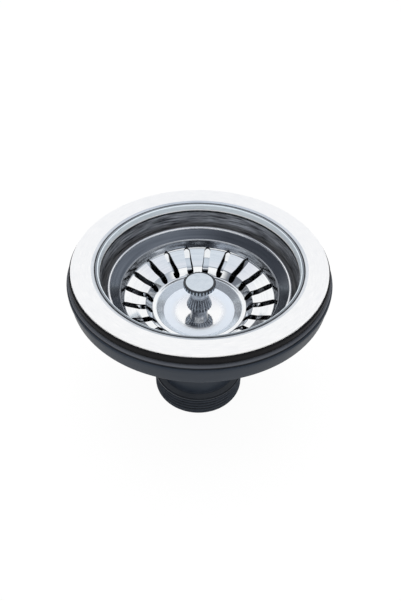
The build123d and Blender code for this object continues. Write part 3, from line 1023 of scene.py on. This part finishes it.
def make_body():
    """Skirt, bowl, neck and threaded outlet, and the hub inside."""
    cone_slope = (BOWL_RADIUS - NECK_RADIUS) / (BOWL_KNEE_HEIGHT - NECK_TOP)
    cone_wall = BODY_WALL * math.hypot(1, cone_slope)
    bowl_bore = BOWL_RADIUS - BODY_WALL
    bowl_bore_knee = NECK_TOP + (bowl_bore + cone_wall - NECK_RADIUS) / cone_slope
    neck_bore_top = NECK_TOP + (NECK_BORE + cone_wall - NECK_RADIUS) / cone_slope
    rim_underside = RIM_TOP - RIM_THICKNESS
    band_bottom = RIM_TOP - RIM_BAND_HEIGHT
    skirt_radius = RIM_RADIUS - SKIRT_STEP
    skirt_bore = skirt_radius - SKIRT_WALL
    skirt_bottom = RIM_TOP - SKIRT_HEIGHT
    corners = [
        # Chamfer under the shoulder in painted shade, the shoulder's top face in painted light
        (OUTLET_RADIUS, THREAD_LENGTH - RIM_EDGE_ROUND, 0, "groove"),
        (OUTLET_RADIUS - RIM_EDGE_ROUND, THREAD_LENGTH, 0, "shoulder"),
        (NECK_RADIUS, THREAD_LENGTH, RIM_EDGE_ROUND, "plastic"),
        (NECK_RADIUS, NECK_TOP, BODY_WALL, "plastic"),
        (BOWL_RADIUS, BOWL_KNEE_HEIGHT, 2 * BODY_WALL, "plastic"),
        (BOWL_RADIUS, rim_underside, RIM_EDGE_ROUND, "plastic"),
        (skirt_bore, rim_underside, RIM_EDGE_ROUND, "plastic"),
        (skirt_bore, skirt_bottom, 0, "plastic"),
        (skirt_radius - SKIRT_TAPER, skirt_bottom, RIM_EDGE_ROUND, "plastic"),
        (skirt_radius, band_bottom, 0, "plastic"),
        (RIM_RADIUS, band_bottom, 0, "plastic"),
        (RIM_RADIUS, RIM_TOP, RIM_EDGE_ROUND, "plastic"),
        (bowl_bore, RIM_TOP, 0, "plastic"),
        (bowl_bore, bowl_bore_knee, BODY_WALL, "plastic"),
        (NECK_BORE, neck_bore_top, BODY_WALL, "plastic"),
        (NECK_BORE, OUTLET_BORE_DEPTH, 0, "plastic"),
        (OUTLET_BORE, OUTLET_BORE_DEPTH, 0, "plastic"),
        (OUTLET_BORE, 0.0, 0, "plastic"),
        (OUTLET_RADIUS - OUTLET_CHAMFER, 0.0, 0, "plastic"),
    ]
    thread_span = THREAD_LENGTH - RIM_EDGE_ROUND - OUTLET_CHAMFER
    rows = rounded_path(corners, BODY_ROW_LENGTH)
    for step in range(THREAD_ROWS):
        rows.append((OUTLET_RADIUS, OUTLET_CHAMFER + thread_span * step / THREAD_ROWS, "thread"))
    materials = {
        "plastic": body_plastic,
        "shoulder": lit_shoulder_plastic,
        "thread": body_plastic,
        "groove": groove_shade_plastic,
    }
    piece = turned("moulded_body", rows, materials, shape=thread_shape, split=thread_split)
    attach(piece, "waste")
    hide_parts("waste_body")
    make_hub(cone_slope, cone_wall)


def make_hub(cone_slope, cone_wall):
    """Hub for the clamping nut, and the ribs that carry it."""
    hub_bottom = HUB_TOP - HUB_LENGTH
    corners = [
        (HUB_TIP_BORE, hub_bottom, 0, "plastic"),
        (HUB_RADIUS, hub_bottom, 0, "plastic"),
        (HUB_RADIUS, HUB_TOP, 0, "plastic"),
        (HUB_BORE, HUB_TOP, 0, "plastic"),
        (HUB_BORE, hub_bottom + HUB_FLOOR, 0, "plastic"),
        (HUB_TIP_BORE, hub_bottom + HUB_FLOOR, 0, "plastic"),
    ]
    rows = rounded_path(corners, BODY_ROW_LENGTH)
    hub = turned("nut_hub", rows, {"plastic": body_plastic}, steps=HUB_STEPS)
    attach(hub, "waste")

    rib_top = hub_bottom + RIB_HEIGHT
    neck_reach = (NECK_RADIUS + NECK_BORE) / 2
    cone_reach = NECK_RADIUS + (rib_top - NECK_TOP) * cone_slope - cone_wall / 2
    inner = (HUB_RADIUS + HUB_BORE) / 2
    outline = (
        (inner, hub_bottom),
        (neck_reach, hub_bottom),
        (neck_reach, NECK_TOP),
        (cone_reach, rib_top),
        (inner, rib_top),
    )
    count = len(outline)
    for number in range(RIB_COUNT):
        spin = Matrix.Rotation(2 * math.pi * number / RIB_COUNT, 3, "Z")
        vertices = [
            spin @ Vector((radius, side * RIB_THICKNESS / 2, height)) * MM
            for side in (-1, 1)
            for radius, height in outline
        ]
        faces = [tuple(range(count)), tuple(range(count, 2 * count))]
        for corner in range(count):
            following = (corner + 1) % count
            faces.append((corner, following, count + following, count + corner))
        zones = ["plastic"] * len(faces)
        rib = mesh_object(f"hub_rib_{number + 1}", vertices, faces, zones, {"plastic": body_plastic})
        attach(rib, "waste")


# Pieces kept from the solids

def dress_solids():
    """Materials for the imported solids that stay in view."""
    looks = {
        "centre_screw": fastener_steel,
        "screw_washer": gasket_rubber,
        "insert_nut": brass,
        "stem": fastener_steel,
        "stopper_seal": gasket_rubber,
        "stopper_plate": fastener_steel,
        "stem_nut": fastener_steel,
        "catch_sleeve": pale_plastic,
        "stem_clip": fastener_steel,
    }
    for node, material in looks.items():
        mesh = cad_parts[node].data
        mesh.materials.clear()
        mesh.materials.append(material)


# Stage, light and camera

FLOOR_SIZE = 6.0
FLOOR_WHITENESS = 0.94
FLOOR_COLOUR = (0.96, 0.96, 0.96)
WHITE = (1.0, 1.0, 1.0)
HIGH_SKY = (0.78, 0.80, 0.86)
OVERHEAD = (0.70, 0.76, 0.83)
HIGH_SKY_PLACE = 0.85
WHITE_SKY_PLACE = 0.70
DIM_LEFT = (0.17, 0.185, 0.215)
DIM_MIDDLE = (0.38, 0.41, 0.46)
DIM_RIGHT = (0.50, 0.54, 0.60)
DIM_PLACES = (0.2, 0.5, 0.8)
DIM_SIDE_END = 0.78
LIGHT_SIDE_START = 0.95
SIDEWAYS_DIMMING = 0.3
DIM_HORIZON = (0.08, 0.26)
LAMP_SIZE = 0.6
LAMP_HEIGHT = 1.3
LAMP_WATTS = 5.5
LOW_FRONT_TOP_DEGREES = (46, 52)
LOW_FRONT_TOP = tuple(math.sin(math.radians(angle)) for angle in LOW_FRONT_TOP_DEGREES)
LOW_FRONT_SIDE = (0.3, 0.5)
CLIP_START_M = 0.01
CLIP_END_M = 20


def background_rays(tree):
    """1 for rays that should see the plain white background, else 0."""
    rays = tree.nodes.new("ShaderNodeLightPath")
    seen = math_node(tree, "MAXIMUM", rays.outputs["Is Camera Ray"], rays.outputs["Is Glossy Ray"])
    return math_node(tree, "MAXIMUM", seen, rays.outputs["Is Transmission Ray"])


def make_stage():
    """White floor: lit part for the shadow, and a share of plain white."""
    bpy.ops.mesh.primitive_plane_add(size=FLOOR_SIZE, location=(0, 0, cad_box[0].z))
    floor = bpy.context.object
    floor.name = "floor"
    material, tree, shader = new_material("floor_white")
    shader.inputs["Base Color"].default_value = (*FLOOR_COLOUR, 1)
    shader.inputs["Roughness"].default_value = 1
    shader.inputs["Specular IOR Level"].default_value = 0
    white = tree.nodes.new("ShaderNodeEmission")
    white.inputs["Color"].default_value = (*WHITE, 1)
    white.inputs["Strength"].default_value = 1
    share = math_node(tree, "MULTIPLY", background_rays(tree), FLOOR_WHITENESS)
    surface = mix_shaders(tree, share, shader.outputs[0], white.outputs[0])
    tree.links.new(surface, tree.nodes["Material Output"].inputs["Surface"])
    floor.data.materials.append(material)


def background(tree, colour):
    """World background of a plain or a linked colour."""
    node = tree.nodes.new("ShaderNodeBackground")
    node.inputs["Strength"].default_value = 1
    if isinstance(colour, tuple):
        node.inputs["Color"].default_value = (*colour, 1)
    else:
        tree.links.new(colour, node.inputs["Color"])
    return node.outputs[0]


def make_light():
    """White surroundings and a soft lamp overhead.

    What shiny surfaces reflect is dimmer beside and above the front, and bluish overhead.
    """
    world = bpy.data.worlds.new("studio")
    bpy.context.scene.world = world
    world.use_nodes = True
    tree = world.node_tree
    tree.nodes.remove(tree.nodes["Background"])
    parts = tree.nodes.new("ShaderNodeSeparateXYZ")
    tree.links.new(tree.nodes.new("ShaderNodeTexCoord").outputs["Generated"], parts.inputs[0])
    x, y, z = parts.outputs
    sideways = math_node(tree, "MULTIPLY", math_node(tree, "ABSOLUTE", x, 0), SIDEWAYS_DIMMING)
    back_and_up = math_node(tree, "SUBTRACT", math_node(tree, "ADD", y, z), sideways)
    behind = map_range(tree, back_and_up, DIM_SIDE_END, LIGHT_SIDE_START, 0, 1)
    from_behind = math_node(tree, "MULTIPLY", behind, map_range(tree, z, *DIM_HORIZON, 0, 1))
    low = map_range(tree, z, *LOW_FRONT_TOP, 1, 0)
    in_front = map_range(tree, math_node(tree, "MULTIPLY", y, -1), *LOW_FRONT_SIDE, 0, 1)
    brightness = math_node(tree, "MAXIMUM", from_behind, math_node(tree, "MULTIPLY", low, in_front))
    sky_colour = ramp(tree, z, ((WHITE_SKY_PLACE, WHITE), (HIGH_SKY_PLACE, HIGH_SKY), (1, OVERHEAD)))
    across = map_range(tree, x, -1, 1, 0, 1)
    dim_colour = ramp(tree, across, tuple(zip(DIM_PLACES, (DIM_LEFT, DIM_MIDDLE, DIM_RIGHT))))
    dim_side = background(tree, dim_colour)
    reflected = mix_shaders(tree, brightness, dim_side, background(tree, sky_colour))
    glossy = tree.nodes.new("ShaderNodeLightPath").outputs["Is Glossy Ray"]
    light = mix_shaders(tree, glossy, background(tree, WHITE), reflected)
    tree.links.new(light, tree.nodes["World Output"].inputs["Surface"])

    lamp = bpy.data.lights.new("overhead_lamp", "AREA")
    lamp.size = LAMP_SIZE
    lamp.energy = LAMP_WATTS
    holder = bpy.data.objects.new("overhead_lamp", lamp)
    holder.location.z = LAMP_HEIGHT
    holder.visible_glossy = False
    bpy.context.scene.collection.objects.link(holder)


def make_camera():
    """Camera at the place, turn and focal length of the photograph."""
    data = bpy.data.cameras.new("camera")
    data.sensor_width = SENSOR_MM
    data.lens = FOCAL_PX / PHOTO_HEIGHT_PX * SENSOR_MM
    data.clip_start = CLIP_START_M
    data.clip_end = CLIP_END_M
    camera = bpy.data.objects.new("camera", data)
    bpy.context.scene.collection.objects.link(camera)
    tilt = Matrix.Rotation(math.pi / 2 - CAMERA_PITCH, 4, "X")
    roll = Matrix.Rotation(CAMERA_ROLL, 4, "Z")
    turn = Matrix.Rotation(CAMERA_TURN, 4, "Z")
    camera.matrix_world = turn @ Matrix.Translation(CAMERA_AT) @ tilt @ roll
    bpy.context.scene.camera = camera


make_flange_cup()
make_basket()
make_knob()
make_seals()
make_body()
dress_solids()
make_stage()
make_light()
make_camera()
bpy.context.scene.view_settings.view_transform = "Standard"
